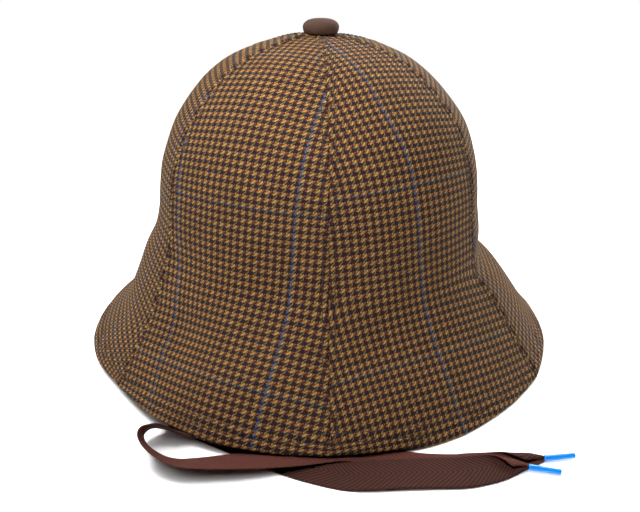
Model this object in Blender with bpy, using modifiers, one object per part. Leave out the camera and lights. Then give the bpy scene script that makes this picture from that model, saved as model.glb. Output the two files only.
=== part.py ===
"""A tulip hat: six panels of checked cloth, each crown and brim in one, a covered button on top
and two tie tapes that end in plastic tips. Metres, +Z up, the front seam towards -Y."""

import math
from collections import namedtuple

import bmesh
import bpy
import numpy as np
from mathutils import Vector

MM = 0.001

# Hat
PANELS = 6
CROWN_RADIUS = 96 * MM  # outside, at the head line
RIM_RADIUS = 142 * MM  # outside, at the hem's edge
HEAD_LINE = 80 * MM  # how far the head line stands above the hem
CROWN_DEPTH = 98 * MM  # head line to the panels' tips
WALL = 1.8 * MM  # the cloth
HEM_WALL = 2.4 * MM  # the cloth turned under at the hem
HEM_WIDTH = 6 * MM
TIP_HOLE = 4 * MM  # radius of the hole that the panels' tips leave under the button
PANEL_SAG = 1.0 * MM  # how far a panel's middle lies inside the round through its seams
LEAN = 2.2 * MM  # how far the top stands to the side of the rim's middle, towards +X
BRIM_FADE = 1.3  # power by which the rim's turn, reach and lift die away up the brim
CLEARANCE = 0.3 * MM

# Button
BUTTON_RADIUS = 10.1 * MM
BUTTON_HEIGHT = 8.1 * MM
SHANK_LENGTH = 3.0 * MM
BUTTON_SHOULDER = 0.45  # share of its height at which its dome begins
BUTTON_BULGE = 0.72  # below 1 its dome is squarer than a ball's
BUTTON_FOOT = 0.9  # share of its radius at its lower edge

# Tie tapes and their tips
TAPE_WIDTH = 20 * MM
TAPE_THICKNESS = 0.8 * MM
TIP_LENGTH = 14.6 * MM
TIP_RADIUS = 1.45 * MM
TIP_BEVEL = 0.5 * MM

# How finely the shapes are cut
PANEL_COLUMNS = 12
PANEL_ROWS = 27
SEAM_STRIP = 0.03  # the narrow column along each seam, as a share of half a panel
TURN_STEPS = 28
TIP_STEPS = 12
TAPE_STEPS = 2  # between two points of its route
CURVE_STEPS = 24

Section = namedtuple("Section", "level reach")
# The brim, from the hem's edge up: level is the share of HEAD_LINE above the hem, reach is
# the share of the way from CROWN_RADIUS out to RIM_RADIUS. The first row lies under the
# floor, where the hem is cut flat.
BRIM = [
    Section(level=-0.04, reach=1.04),
    Section(level=0.22, reach=0.70),
    Section(level=0.46, reach=0.38),
    Section(level=0.71, reach=0.12),
]
# The crown: level is the share of CROWN_DEPTH above the head line, reach the share of
# CROWN_RADIUS. A last point at the hole is added to it.
CROWN = [
    Section(level=0.0, reach=1.0),
    Section(level=0.18, reach=0.978),
    Section(level=0.36, reach=0.938),
    Section(level=0.56, reach=0.85),
    Section(level=0.75, reach=0.685),
    Section(level=0.89, reach=0.49),
    Section(level=0.97, reach=0.25),
]

RimPoint = namedtuple("RimPoint", "azimuth turn reach lift")
# The hem's edge, by degrees from the front seam towards +X before the brim's cloth is turned:
# turn is how many degrees further round it lies, reach is a share of RIM_RADIUS and lift a
# share of HEAD_LINE. Over the tapes it stands off the floor, and up to a lift of 0.04 its cut
# edge still rests there.
RIM = [
    RimPoint(azimuth=-180, turn=0, reach=1.008, lift=0),
    RimPoint(azimuth=-130, turn=0, reach=0.99, lift=0),
    RimPoint(azimuth=-95, turn=2, reach=0.985, lift=0.02),
    RimPoint(azimuth=-75, turn=5, reach=0.975, lift=0.068),
    RimPoint(azimuth=-60, turn=7, reach=0.97, lift=0.112),
    RimPoint(azimuth=-40, turn=4, reach=1.012, lift=0.135),
    RimPoint(azimuth=-22, turn=1, reach=1.028, lift=0.125),
    RimPoint(azimuth=-6, turn=0, reach=1.018, lift=0.105),
    RimPoint(azimuth=9, turn=-1, reach=1.007, lift=0.085),
    RimPoint(azimuth=22, turn=-2, reach=1.012, lift=0.058),
    RimPoint(azimuth=42, turn=-3, reach=1.014, lift=0.01),
    RimPoint(azimuth=60, turn=-3, reach=1.016, lift=0),
    RimPoint(azimuth=82, turn=-1, reach=1.01, lift=0),
    RimPoint(azimuth=120, turn=0, reach=1.0, lift=0),
    RimPoint(azimuth=180, turn=0, reach=1.008, lift=0),
]

Fold = namedtuple("Fold", "azimuth spread level height depth")
# Bulges and dents: where they are in degrees from the front, how far they reach either way,
# their level above the hem and half height as shares of HEAD_LINE + CROWN_DEPTH, and how far
# they stand out as a share of CROWN_RADIUS.
FOLDS = [
    Fold(azimuth=80, spread=34, level=0.64, height=0.18, depth=0.01),
    Fold(azimuth=80, spread=30, level=0.31, height=0.055, depth=-0.044),
    Fold(azimuth=86, spread=34, level=0.19, height=0.09, depth=0.02),
    Fold(azimuth=-90, spread=40, level=0.62, height=0.28, depth=0.012),
    Fold(azimuth=-88, spread=34, level=0.30, height=0.08, depth=0.042),
    Fold(azimuth=-88, spread=34, level=0.12, height=0.055, depth=-0.03),
    Fold(azimuth=-80, spread=45, level=0.88, height=0.07, depth=0.016),
    Fold(azimuth=-42, spread=8, level=0.17, height=0.14, depth=-0.026),
]

RoutePoint = namedtuple("RoutePoint", "x y z heading rise width")
# The tapes' middle lines in millimetres, chosen by hand. heading and rise are the way across
# the tape in degrees, from +X towards +Y and up from the level; width is a share of TAPE_WIDTH.
LEFT_TAPE = [
    RoutePoint(x=-92.6, y=4.4, z=72, heading=-90, rise=0, width=1),
    RoutePoint(x=-92.9, y=3.4, z=50, heading=-92, rise=0, width=1),
    RoutePoint(x=-94, y=0.4, z=28, heading=-119, rise=0, width=1),
    RoutePoint(x=-97, y=-7.7, z=9, heading=-159, rise=0, width=1),
    RoutePoint(x=-99.6, y=-22.7, z=1.6, heading=-177, rise=0, width=1),
    RoutePoint(x=-102.2, y=-44.8, z=0.5, heading=-179, rise=0, width=1),
    RoutePoint(x=-98.8, y=-69.7, z=0.5, heading=-159, rise=0, width=1),
    RoutePoint(x=-89.4, y=-90.6, z=0.5, heading=-144, rise=0, width=1),
    RoutePoint(x=-74.2, y=-106.3, z=0.5, heading=-131, rise=0, width=1),
    RoutePoint(x=-58.9, y=-118.5, z=0.5, heading=-125, rise=0, width=1),
    RoutePoint(x=-42.2, y=-129.8, z=0.5, heading=-123, rise=0, width=1),
    RoutePoint(x=-26.6, y=-140.5, z=0.5, heading=-121, rise=0, width=1),
    RoutePoint(x=-10.4, y=-149.2, z=0.5, heading=-111, rise=0, width=1),
    RoutePoint(x=5, y=-155.2, z=0.5, heading=-100, rise=0, width=1),
    RoutePoint(x=12.5, y=-156.6, z=1.55, heading=-95, rise=0, width=1),
    RoutePoint(x=20, y=-156.9, z=1.7, heading=-92, rise=0, width=1),
    RoutePoint(x=39, y=-156.8, z=1.7, heading=-89, rise=0, width=1),
    RoutePoint(x=57.5, y=-157, z=1.7, heading=-89, rise=0, width=1),
    RoutePoint(x=69, y=-156.2, z=1.9, heading=-88, rise=0, width=0.95),
    RoutePoint(x=77, y=-155.2, z=2.3, heading=-89, rise=0, width=0.76),
    RoutePoint(x=83, y=-155.2, z=2.8, heading=-92, rise=0, width=0.48),
    RoutePoint(x=87.7, y=-155.7, z=2.8, heading=-95, rise=0, width=0.18),
    RoutePoint(x=89.7, y=-156, z=2.7, heading=-98, rise=0, width=0.14),
]
RIGHT_TAPE = [
    RoutePoint(x=92.6, y=-4.4, z=72, heading=-90, rise=0, width=1),
    RoutePoint(x=92.9, y=-5.4, z=50, heading=-92, rise=0, width=1),
    RoutePoint(x=94.2, y=-9.4, z=28, heading=-119, rise=0, width=1),
    RoutePoint(x=96.3, y=-18.3, z=9, heading=-159, rise=0, width=1),
    RoutePoint(x=95.6, y=-35.3, z=1.6, heading=-185, rise=0, width=1),
    RoutePoint(x=89.5, y=-59.4, z=0.5, heading=-204, rise=0, width=1),
    RoutePoint(x=75.5, y=-83.7, z=0.5, heading=-225, rise=0, width=1),
    RoutePoint(x=54.8, y=-102.1, z=0.5, heading=-238, rise=0, width=1),
    RoutePoint(x=29, y=-113.5, z=0.5, heading=-252, rise=0, width=1),
    RoutePoint(x=2.1, y=-119, z=0.6, heading=-263, rise=0, width=1),
    RoutePoint(x=-23.9, y=-120.4, z=1.7, heading=-271, rise=0, width=1),
    RoutePoint(x=-43.9, y=-120, z=2.0, heading=-271, rise=0, width=1),
    RoutePoint(x=-61.2, y=-118.9, z=2.5, heading=-271, rise=-4, width=1),
    RoutePoint(x=-69.4, y=-121.4, z=3.3, heading=-270, rise=-10, width=1),
    RoutePoint(x=-76.3, y=-125.3, z=5.8, heading=-266, rise=-31, width=1),
    RoutePoint(x=-81.3, y=-127.5, z=9.2, heading=-262, rise=-40, width=1),
    RoutePoint(x=-85, y=-129.1, z=11.6, heading=-260, rise=-43, width=1),
    RoutePoint(x=-87.9, y=-130.3, z=12, heading=-260, rise=-44, width=1),
    RoutePoint(x=-89.7, y=-131.8, z=11.4, heading=-260, rise=-41, width=1),
    RoutePoint(x=-90.1, y=-134.3, z=10, heading=-261, rise=-38, width=1),
    RoutePoint(x=-88.4, y=-137.6, z=8.7, heading=-263, rise=-35, width=1),
    RoutePoint(x=-84.8, y=-141.5, z=7.7, heading=-266, rise=-32, width=1),
    RoutePoint(x=-80.2, y=-145.1, z=6.9, heading=-268, rise=-30, width=1),
    RoutePoint(x=-74.2, y=-148, z=6.2, heading=-270, rise=-29, width=1),
    RoutePoint(x=-66.8, y=-149.4, z=5.6, heading=-270, rise=-27, width=1),
    RoutePoint(x=-51.4, y=-148.8, z=5.1, heading=-267, rise=-21, width=1),
    RoutePoint(x=-34.5, y=-146.4, z=4.2, heading=-261, rise=-14.5, width=1),
    RoutePoint(x=-15.4, y=-141.3, z=2.6, heading=-257, rise=-5, width=1),
    RoutePoint(x=-3.2, y=-136.4, z=1.7, heading=-260, rise=-1, width=1),
    RoutePoint(x=6.5, y=-133.8, z=1.4, heading=-269, rise=0, width=1),
    RoutePoint(x=15, y=-134.9, z=0.6, heading=-281, rise=0, width=1),
    RoutePoint(x=24.5, y=-145, z=0.55, heading=-297, rise=0, width=1),
    RoutePoint(x=35.2, y=-150, z=0.5, heading=-290, rise=0, width=1),
    RoutePoint(x=47, y=-152.2, z=0.5, heading=-276, rise=0, width=1),
    RoutePoint(x=60, y=-153, z=0.5, heading=-273, rise=0, width=1),
    RoutePoint(x=72, y=-153.4, z=0.5, heading=-272, rise=0, width=0.98),
    RoutePoint(x=80, y=-152.2, z=0.5, heading=-268, rise=0, width=0.84),
    RoutePoint(x=87, y=-150.6, z=0.7, heading=-264, rise=0, width=0.62),
    RoutePoint(x=93, y=-149.8, z=1.2, heading=-262, rise=0, width=0.4),
    RoutePoint(x=97.5, y=-149.9, z=1.6, heading=-261, rise=0, width=0.2),
    RoutePoint(x=99.6, y=-149.8, z=1.7, heading=-260, rise=0, width=0.14),
]


def curve_through(rows, steps):
    """A smooth curve through the rows, with this many steps from each to the next."""
    p = np.array(rows, float)
    p = np.vstack([2 * p[0] - p[1], p, 2 * p[-1] - p[-2]])
    t = np.linspace(0, 1, steps, endpoint=False)[:, None]
    pieces = []
    for a, b, c, d in zip(p[:-3], p[1:-2], p[2:-1], p[3:]):
        bend = 2 * a - 5 * b + 4 * c - d
        twist = 3 * b - a - 3 * c + d
        pieces.append(b + t * (c - a) / 2 + t**2 * bend / 2 + t**3 * twist / 2)
    return np.vstack(pieces + [p[-2:-1]])


def panel_profile():
    """The panels' middle line as radius and height, evenly spaced from the hem to the button."""
    flare = RIM_RADIUS - CROWN_RADIUS
    rows = [(CROWN_RADIUS + s.reach * flare, s.level * HEAD_LINE) for s in BRIM]
    rows += [(s.reach * CROWN_RADIUS, HEAD_LINE + s.level * CROWN_DEPTH) for s in CROWN]
    rows.append((TIP_HOLE, HEAD_LINE + CROWN_DEPTH))
    fine = curve_through(rows, CURVE_STEPS)
    run = np.concatenate([[0], np.cumsum(np.linalg.norm(np.diff(fine, axis=0), axis=1))])
    even = np.linspace(0, run[-1], len(fine))
    return np.column_stack([np.interp(even, run, column) for column in fine.T])


PROFILE = panel_profile()
PROFILE_SHARES = np.linspace(0, 1, len(PROFILE))
PROFILE_SLOPES = np.gradient(PROFILE, axis=0)
PROFILE_RUN = np.linalg.norm(np.diff(PROFILE, axis=0), axis=1).sum()
RIM_CURVE = curve_through(RIM, CURVE_STEPS)


def hat_point(azimuth, across, share):
    """A point of the hat's outer face: degrees from the front seam before the brim's cloth is
    turned, -1 to 1 over its panel, and the share of the way up."""
    radius, height = (np.interp(share, PROFILE_SHARES, column) for column in PROFILE.T)
    slope = [np.interp(share, PROFILE_SHARES, column) for column in PROFILE_SLOPES.T]
    length = math.hypot(*slope)
    normal_out = slope[1] / length
    normal_up = -slope[0] / length
    brim_share = max(1 - max(height, 0) / HEAD_LINE, 0) ** BRIM_FADE
    turn, reach, lift = (np.interp(azimuth, RIM_CURVE[:, 0], RIM_CURVE[:, i]) for i in (1, 2, 3))
    azimuth += brim_share * turn
    level = height / (HEAD_LINE + CROWN_DEPTH)
    out = -PANEL_SAG * (1 - across**2) * math.sin(math.pi * share)
    for fold in FOLDS:
        past = (azimuth - fold.azimuth + 180) % 360 - 180
        distance = (past / fold.spread) ** 2 + ((level - fold.level) / fold.height) ** 2
        out += fold.depth * CROWN_RADIUS * math.exp(-distance)
    radius += brim_share * (reach - 1) * RIM_RADIUS + out * normal_out
    height += brim_share * lift * HEAD_LINE + out * normal_up
    angle = math.radians(azimuth)
    side = LEAN * level
    return Vector((side + radius * math.sin(angle), -radius * math.cos(angle), height))


def hat_middle():
    """The middle of the hem's outline where it stands on or over the floor, seen from above."""
    hem_share = -2 * BRIM[0].level * HEAD_LINE / PROFILE_RUN
    edge = []
    for azimuth in range(-180, 180):
        line = [hat_point(azimuth, 1, share) for share in np.linspace(0, hem_share, 20)]
        edge.append(next(point for point in line if point.z >= 0))
    low = [min(point[axis] for point in edge) for axis in range(2)]
    high = [max(point[axis] for point in edge) for axis in range(2)]
    return Vector(((low[0] + high[0]) / 2, (low[1] + high[1]) / 2, 0))


def material(name, colour, roughness):
    made = bpy.data.materials.new(name)
    made.use_nodes = True
    shader = made.node_tree.nodes["Principled BSDF"]
    shader.inputs["Base Color"].default_value = (*colour, 1)
    shader.inputs["Roughness"].default_value = roughness
    return made


def add_object(name, bm, surface, collection):
    """An object of this mesh. Without a surface it is a cutter."""
    mesh = bpy.data.meshes.new(name)
    bm.to_mesh(mesh)
    bm.free()
    made = bpy.data.objects.new(name, mesh)
    collection.objects.link(made)
    if surface:
        mesh.materials.append(surface)
        mesh.shade_smooth()
    else:
        made.hide_render = True
        made.display_type = "WIRE"
    return made


def make_floor_cutter(collection):
    """The room under the floor, which cuts the hem flat where it rests."""
    bm = bmesh.new()
    bmesh.ops.create_cube(bm, size=1)
    bmesh.ops.scale(bm, verts=bm.verts, vec=(3 * RIM_RADIUS, 3 * RIM_RADIUS, HEAD_LINE))
    bmesh.ops.translate(bm, verts=bm.verts, vec=(0, 0, -HEAD_LINE / 2))
    return add_object("floor_cutter", bm, None, collection)


def make_panel(name, azimuth, middle, surface, cutter, collection):
    """One gore, crown and brim in one: a sheet given its wall, thicker along the hem."""
    hem_share = (HEM_WIDTH - BRIM[0].level * HEAD_LINE) / PROFILE_RUN
    upper = np.linspace(hem_share + WALL / PROFILE_RUN, 1, PANEL_ROWS - 1)
    shares = [0, hem_share, *upper]
    columns = [-1, *np.linspace(SEAM_STRIP - 1, 1 - SEAM_STRIP, PANEL_COLUMNS - 1), 1]
    bm = bmesh.new()
    bmesh.ops.create_grid(bm, x_segments=PANEL_COLUMNS, y_segments=PANEL_ROWS, size=1)
    in_hem = []
    for vertex in bm.verts:
        across = columns[round((vertex.co.x + 1) / 2 * PANEL_COLUMNS)]
        share = shares[round((vertex.co.y + 1) / 2 * PANEL_ROWS)]
        radius = np.interp(share, PROFILE_SHARES, PROFILE[:, 0])
        half_panel = 180 / PANELS - math.degrees(math.asin(CLEARANCE / 2 / radius))
        turned_to = (azimuth + across * half_panel + 180) % 360 - 180
        vertex.co = hat_point(turned_to, across, share) - middle
        in_hem.append(share <= hem_share)
    panel = add_object(name, bm, surface, collection)
    hem = panel.vertex_groups.new(name="hem")
    hem.add([number for number, inside in enumerate(in_hem) if inside], 1, "REPLACE")
    solid = panel.modifiers.new("wall", "SOLIDIFY")
    solid.thickness = HEM_WALL
    solid.offset = -1
    solid.vertex_group = "hem"
    solid.thickness_vertex_group = WALL / HEM_WALL
    flat = panel.modifiers.new("flat hem", "BOOLEAN")
    flat.object = cutter


def turned(name, profile, steps, surface, collection):
    """A solid turned about Z. The profile runs down its outer side."""
    bm = bmesh.new()
    points = [bm.verts.new((out, 0, up)) for out, up in profile]
    for start, end in zip(points, points[1:]):
        bm.edges.new((start, end))
    made = add_object(name, bm, surface, collection)
    turn = made.modifiers.new("turn", "SCREW")
    turn.steps = turn.render_steps = steps
    turn.use_merge_vertices = True
    turn.merge_threshold = 0.01 * MM
    return made


def make_button(middle, surface, collection):
    """The covered button: a turned dome over the tips, and the shank through their hole."""
    shank_radius = TIP_HOLE - 2 * CLEARANCE
    shoulder = BUTTON_SHOULDER * BUTTON_HEIGHT
    crown = BUTTON_HEIGHT - shoulder
    dome = [(math.sin(a) ** BUTTON_BULGE, math.cos(a)) for a in np.linspace(0, math.pi / 2, 8)]
    profile = [(BUTTON_RADIUS * out, shoulder + crown * up) for out, up in dome]
    profile += [
        (BUTTON_FOOT * BUTTON_RADIUS, CLEARANCE),
        (shank_radius, CLEARANCE),
        (shank_radius, -SHANK_LENGTH),
        (0, -SHANK_LENGTH),
    ]
    button = turned("top_button", profile, TURN_STEPS, surface, collection)
    button.location = Vector((LEAN, 0, HEAD_LINE + CROWN_DEPTH)) - middle


def tape_rows(route):
    """Places along a tape, the ways along and across it there, and half its width."""
    rows = curve_through(route, TAPE_STEPS)
    places = rows[:, :3] * MM
    along = np.gradient(places, axis=0)
    along /= np.linalg.norm(along, axis=1)[:, None]
    heading, rise = np.radians(rows[:, 3:5].T)
    level = np.cos(rise)
    across = np.column_stack([level * np.cos(heading), level * np.sin(heading), np.sin(rise)])
    across -= (across * along).sum(axis=1)[:, None] * along
    across /= np.linalg.norm(across, axis=1)[:, None]
    return places, along, across, rows[:, 5] * TAPE_WIDTH / 2


def make_tape(side, route, middle, cloth, plastic, collection):
    """A tie tape, laid out as a sheet along its route, and the tip on its end."""
    places, along, across, half_widths = tape_rows(route)
    last = len(places) - 1
    bm = bmesh.new()
    bmesh.ops.create_grid(bm, x_segments=1, y_segments=last, size=1)
    for vertex in bm.verts:
        row = round((vertex.co.y + 1) / 2 * last)
        vertex.co = places[row] + vertex.co.x * half_widths[row] * across[row]
    tape = add_object(f"tie_tape_{side}", bm, cloth, collection)
    tape.location = -middle
    solid = tape.modifiers.new("thickness", "SOLIDIFY")
    solid.thickness = TAPE_THICKNESS
    solid.offset = 0
    profile = [
        (0, TIP_LENGTH),
        (TIP_RADIUS - TIP_BEVEL, TIP_LENGTH),
        (TIP_RADIUS, TIP_LENGTH - TIP_BEVEL),
        (TIP_RADIUS, 0),
        (0, 0),
    ]
    tip = turned(f"tape_tip_{side}", profile, TIP_STEPS, plastic, collection)
    end = Vector(along[-1])
    tip.location = Vector(places[-1]) + CLEARANCE * end - middle
    tip.rotation_mode = "QUATERNION"
    tip.rotation_quaternion = end.to_track_quat("Z", "Y")


def main():
    for old in list(bpy.data.objects):
        bpy.data.objects.remove(old, do_unlink=True)
    hat = bpy.data.collections.new("tulip_hat")
    cutters = bpy.data.collections.new("cutters")
    for collection in (hat, cutters):
        bpy.context.scene.collection.children.link(collection)
    check = material("houndstooth wool", (0.19, 0.10, 0.05), 0.9)
    covered = material("brown covered button", (0.09, 0.045, 0.035), 0.85)
    twill = material("brown herringbone tape", (0.10, 0.04, 0.03), 0.85)
    plastic = material("blue plastic", (0.02, 0.27, 0.86), 0.35)
    middle = hat_middle()
    cutter = make_floor_cutter(cutters)
    names = ["front_right", "right", "back_right", "back_left", "left", "front_left"]
    for index, place in enumerate(names):
        azimuth = (2 * index + 1) * 180 / PANELS
        make_panel(f"panel_{place}", azimuth, middle, check, cutter, hat)
    make_button(middle, covered, hat)
    make_tape("left", LEFT_TAPE, middle, twill, plastic, hat)
    make_tape("right", RIGHT_TAPE, middle, twill, plastic, hat)


main()
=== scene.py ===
"""A tulip hat of checked wool cloth: six gores, a covered button and two tie tapes with tips.

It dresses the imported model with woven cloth, sewn seams, topstitching, herringbone tape and
moulded tips, on a pale floor in soft light."""

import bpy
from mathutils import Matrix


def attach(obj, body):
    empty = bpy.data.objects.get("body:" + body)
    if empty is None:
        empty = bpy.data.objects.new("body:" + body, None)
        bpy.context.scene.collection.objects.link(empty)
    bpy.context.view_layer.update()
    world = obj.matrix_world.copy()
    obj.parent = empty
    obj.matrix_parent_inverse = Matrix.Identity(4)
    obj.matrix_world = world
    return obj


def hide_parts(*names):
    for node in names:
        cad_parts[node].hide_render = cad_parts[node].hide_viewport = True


bl_info = {
    "name": "Tulip Hat",
    "version": (1, 0, 0),
    "blender": (4, 5, 0),
    "location": "View3D > Sidebar > Hat",
    "description": "Builds a checked wool tulip hat with its seams, button and tie tapes",
    "category": "Object",
}

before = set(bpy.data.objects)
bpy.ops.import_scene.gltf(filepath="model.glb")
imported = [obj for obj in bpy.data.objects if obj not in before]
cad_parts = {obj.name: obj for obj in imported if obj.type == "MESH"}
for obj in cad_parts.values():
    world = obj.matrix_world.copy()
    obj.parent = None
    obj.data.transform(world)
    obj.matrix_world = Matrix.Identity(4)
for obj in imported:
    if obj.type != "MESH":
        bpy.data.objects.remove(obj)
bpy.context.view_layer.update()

import math
from collections import namedtuple

import bpy
import numpy as np
from bpy.props import FloatProperty, FloatVectorProperty, PointerProperty
from bpy.types import Operator, Panel, PropertyGroup
from mathutils import Vector, noise

MM = 0.001
CLOTH_MAP = "cloth"

# The hat's shape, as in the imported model
PANELS = 6
CROWN_RADIUS = 96 * MM
RIM_RADIUS = 142 * MM
HEAD_LINE = 80 * MM
CROWN_DEPTH = 98 * MM
WALL = 1.8 * MM
HEM_WALL = 2.4 * MM
HEM_WIDTH = 6 * MM
TIP_HOLE = 4 * MM
PANEL_SAG = 1.0 * MM
LEAN = 2.2 * MM
BRIM_FADE = 1.3
CLEARANCE = 0.3 * MM
BUTTON_RADIUS = 10.1 * MM
BUTTON_HEIGHT = 8.1 * MM
BUTTON_SHOULDER = 0.45
BUTTON_BULGE = 0.72
BUTTON_FOOT = 0.9
TAPE_WIDTH = 20 * MM
TAPE_THICKNESS = 0.8 * MM
TIP_LENGTH = 14.6 * MM
TIP_RADIUS = 1.45 * MM
CURVE_STEPS = 24
TAPE_STEP = 0.9  # millimetres from one row of a tape's points to the next
TAPE_EASE = 3.0  # millimetres over which its route is eased
EASE_ROWS = 8  # the rows on each side that count for this

# The middle line of a gore, up from the floor. On the brim, level is a share of the head line's
# height and reach of the rim's flare. On the crown, they are shares of its depth and its radius.
Section = namedtuple("Section", "level reach")
BRIM = [Section(-0.04, 1.04), Section(0.22, 0.70), Section(0.46, 0.38), Section(0.71, 0.12)]
CROWN = [
    Section(0.0, 1.0),
    Section(0.18, 0.978),
    Section(0.36, 0.938),
    Section(0.56, 0.85),
    Section(0.75, 0.685),
    Section(0.89, 0.49),
    Section(0.97, 0.25),
]
# How the brim departs from round: azimuth and its turn in degrees, reach as a share of the rim's
# radius and lift as a share of the head line's height
RimPoint = namedtuple("RimPoint", "azimuth turn reach lift")
RIM = [
    RimPoint(-180, 0, 1.008, 0),
    RimPoint(-130, 0, 0.99, 0),
    RimPoint(-95, 2, 0.985, 0.02),
    RimPoint(-75, 5, 0.975, 0.068),
    RimPoint(-60, 7, 0.97, 0.112),
    RimPoint(-40, 4, 1.012, 0.135),
    RimPoint(-22, 1, 1.028, 0.125),
    RimPoint(-6, 0, 1.018, 0.105),
    RimPoint(9, -1, 1.007, 0.085),
    RimPoint(22, -2, 1.012, 0.058),
    RimPoint(42, -3, 1.014, 0.01),
    RimPoint(60, -3, 1.016, 0),
    RimPoint(82, -1, 1.01, 0),
    RimPoint(120, 0, 1.0, 0),
    RimPoint(180, 0, 1.008, 0),
]
# The hat's large folds: azimuth and spread in degrees, level and height as shares of the hat's
# height, and how far out they go as a share of the crown's radius
Fold = namedtuple("Fold", "azimuth spread level height depth")
FOLDS = [
    Fold(80, 34, 0.64, 0.18, 0.01),
    Fold(80, 30, 0.31, 0.055, -0.044),
    Fold(86, 34, 0.19, 0.09, 0.02),
    Fold(-90, 40, 0.62, 0.28, 0.012),
    Fold(-88, 34, 0.30, 0.08, 0.042),
    Fold(-88, 34, 0.12, 0.055, -0.03),
    Fold(-80, 45, 0.88, 0.07, 0.016),
    Fold(-42, 8, 0.17, 0.14, -0.026),
]
# The tapes' middle lines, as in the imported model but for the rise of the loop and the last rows,
# where the ends are gathered: places in millimetres, the heading and rise of the way across the
# tape in degrees, and its width as a share.
Place = namedtuple("Place", "x y z heading rise width")
LEFT_TAPE = [
    Place(-92.6, 4.4, 72, -90, 0, 1),
    Place(-92.9, 3.4, 50, -92, 0, 1),
    Place(-94, 0.4, 28, -119, 0, 1),
    Place(-97, -7.7, 9, -159, 0, 1),
    Place(-99.6, -22.7, 1.6, -177, 0, 1),
    Place(-102.2, -44.8, 0.5, -179, 0, 1),
    Place(-98.8, -69.7, 0.5, -159, 0, 1),
    Place(-89.4, -90.6, 0.5, -144, 0, 1),
    Place(-74.2, -106.3, 0.5, -131, 0, 1),
    Place(-58.9, -118.5, 0.5, -125, 0, 1),
    Place(-42.2, -129.8, 0.5, -123, 0, 1),
    Place(-26.6, -140.5, 0.5, -121, 0, 1),
    Place(-10.4, -149.2, 0.5, -111, 0, 1),
    Place(5, -155.2, 0.5, -100, 0, 1),
    Place(12.5, -156.6, 1.55, -95, 0, 1),
    Place(20, -156.9, 1.7, -92, 0, 1),
    Place(39, -156.8, 1.7, -89, 0, 1),
    Place(57.5, -157.3, 1.5, -89, 0, 0.96),
    Place(69, -156.4, 1.6, -88, 0, 0.84),
    Place(77, -155.8, 1.9, -89, 0, 0.66),
    Place(83, -155.4, 2.4, -92, 0, 0.42),
    Place(87.7, -155.8, 2.8, -95, 0, 0.2),
    Place(89.7, -156.4, 2.6, -98, 0, 0.14),
]
RIGHT_TAPE = [
    Place(92.6, -4.4, 72, -90, 0, 1),
    Place(92.9, -5.4, 50, -92, 0, 1),
    Place(94.2, -9.4, 28, -119, 0, 1),
    Place(96.3, -18.3, 9, -159, 0, 1),
    Place(95.6, -35.3, 1.6, -185, 0, 1),
    Place(89.5, -59.4, 0.5, -204, 0, 1),
    Place(75.5, -83.7, 0.5, -225, 0, 1),
    Place(54.8, -102.1, 0.5, -238, 0, 1),
    Place(29, -113.5, 0.5, -252, 0, 1),
    Place(2.1, -119, 0.6, -263, 0, 1),
    Place(-23.9, -120.4, 1.7, -271, 0, 1),
    Place(-43.9, -120, 2.0, -271, 0, 1),
    Place(-61.2, -118.9, 2.5, -271, -4, 1),
    Place(-69.4, -121.4, 3.3, -270, -10, 1),
    Place(-76.3, -125.3, 5.8, -266, -31, 1),
    Place(-81.3, -127.5, 9.2, -262, -40, 1),
    Place(-85, -129.1, 11.6, -260, -43, 1),
    Place(-87.9, -130.3, 12, -260, -44, 1),
    Place(-89.7, -131.8, 11.4, -260, -41, 1),
    Place(-90.1, -134.3, 10, -261, -38, 1),
    Place(-88.4, -137.6, 8.7, -263, -38, 1),
    Place(-84.8, -141.5, 7.7, -266, -37, 1),
    Place(-80.2, -145.1, 6.9, -268, -36, 1),
    Place(-74.2, -148, 6.2, -270, -32, 1),
    Place(-66.8, -149.4, 5.6, -270, -27, 1),
    Place(-51.4, -148.8, 5.1, -267, -21, 1),
    Place(-34.5, -146.4, 4.2, -261, -14.5, 1),
    Place(-15.4, -141.3, 2.6, -257, -5, 1),
    Place(-3.2, -137.8, 1.7, -260, -1, 1),
    Place(6.5, -136.8, 1.5, -266, 0, 1),
    Place(15, -139, 0.6, -274, 0, 1),
    Place(24.5, -146, 0.55, -288, 0, 1),
    Place(35.2, -150, 0.5, -290, 0, 1),
    Place(47, -152.2, 0.5, -276, 0, 1),
    Place(60, -153.3, 0.5, -273, 0, 1),
    Place(72, -153.8, 0.5, -272, 0, 0.9),
    Place(80, -152.7, 0.5, -268, 0, 0.74),
    Place(87, -150.9, 0.7, -264, 0, 0.54),
    Place(93, -149.8, 1.2, -262, 0, 0.4),
    Place(97.5, -149.9, 1.6, -261, 0, 0.2),
    Place(99.6, -149.8, 1.7, -260, 0, 0.14),
]

# How each gore was cut from the cloth: where a blue warp line and a blue weft line cross it, in
# millimetres from its middle line and from its hem.
Cut = namedtuple("Cut", "gore warp_line weft_line")
CUTS = [
    Cut("front_right", -1, 131.5),
    Cut("right", -50, 120),
    Cut("back_right", 12, 104),
    Cut("back_left", -20, 126),
    Cut("left", 36, 112),
    Cut("front_left", 31.9, 117.5),
]
# Where the cloth's warp is drawn aside by its shaping: from the gore's middle towards one of its
# sides (-1 or 1, 0 is both), how high above the hem, and how far in millimetres.
Drift = namedtuple("Drift", "gore side height shift")
DRIFTS = [
    Drift("front_left", -1, 0, 9),
    Drift("front_left", -1, 12, 9),
    Drift("front_left", -1, 33, 4.5),
    Drift("front_left", -1, 55, 6.5),
    Drift("front_left", -1, 78, 3),
    Drift("front_left", -1, 97, 0),
    Drift("front_right", 0, 0, 1),
    Drift("front_right", 0, 102, 1),
    Drift("front_right", 0, 140, -2),
    Drift("front_right", 0, 172, -7),
    Drift("front_right", 0, 200, -8),
]
DRIFT_REACH = 34 * MM  # from a gore's middle to where a drift towards one side is whole

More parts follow.
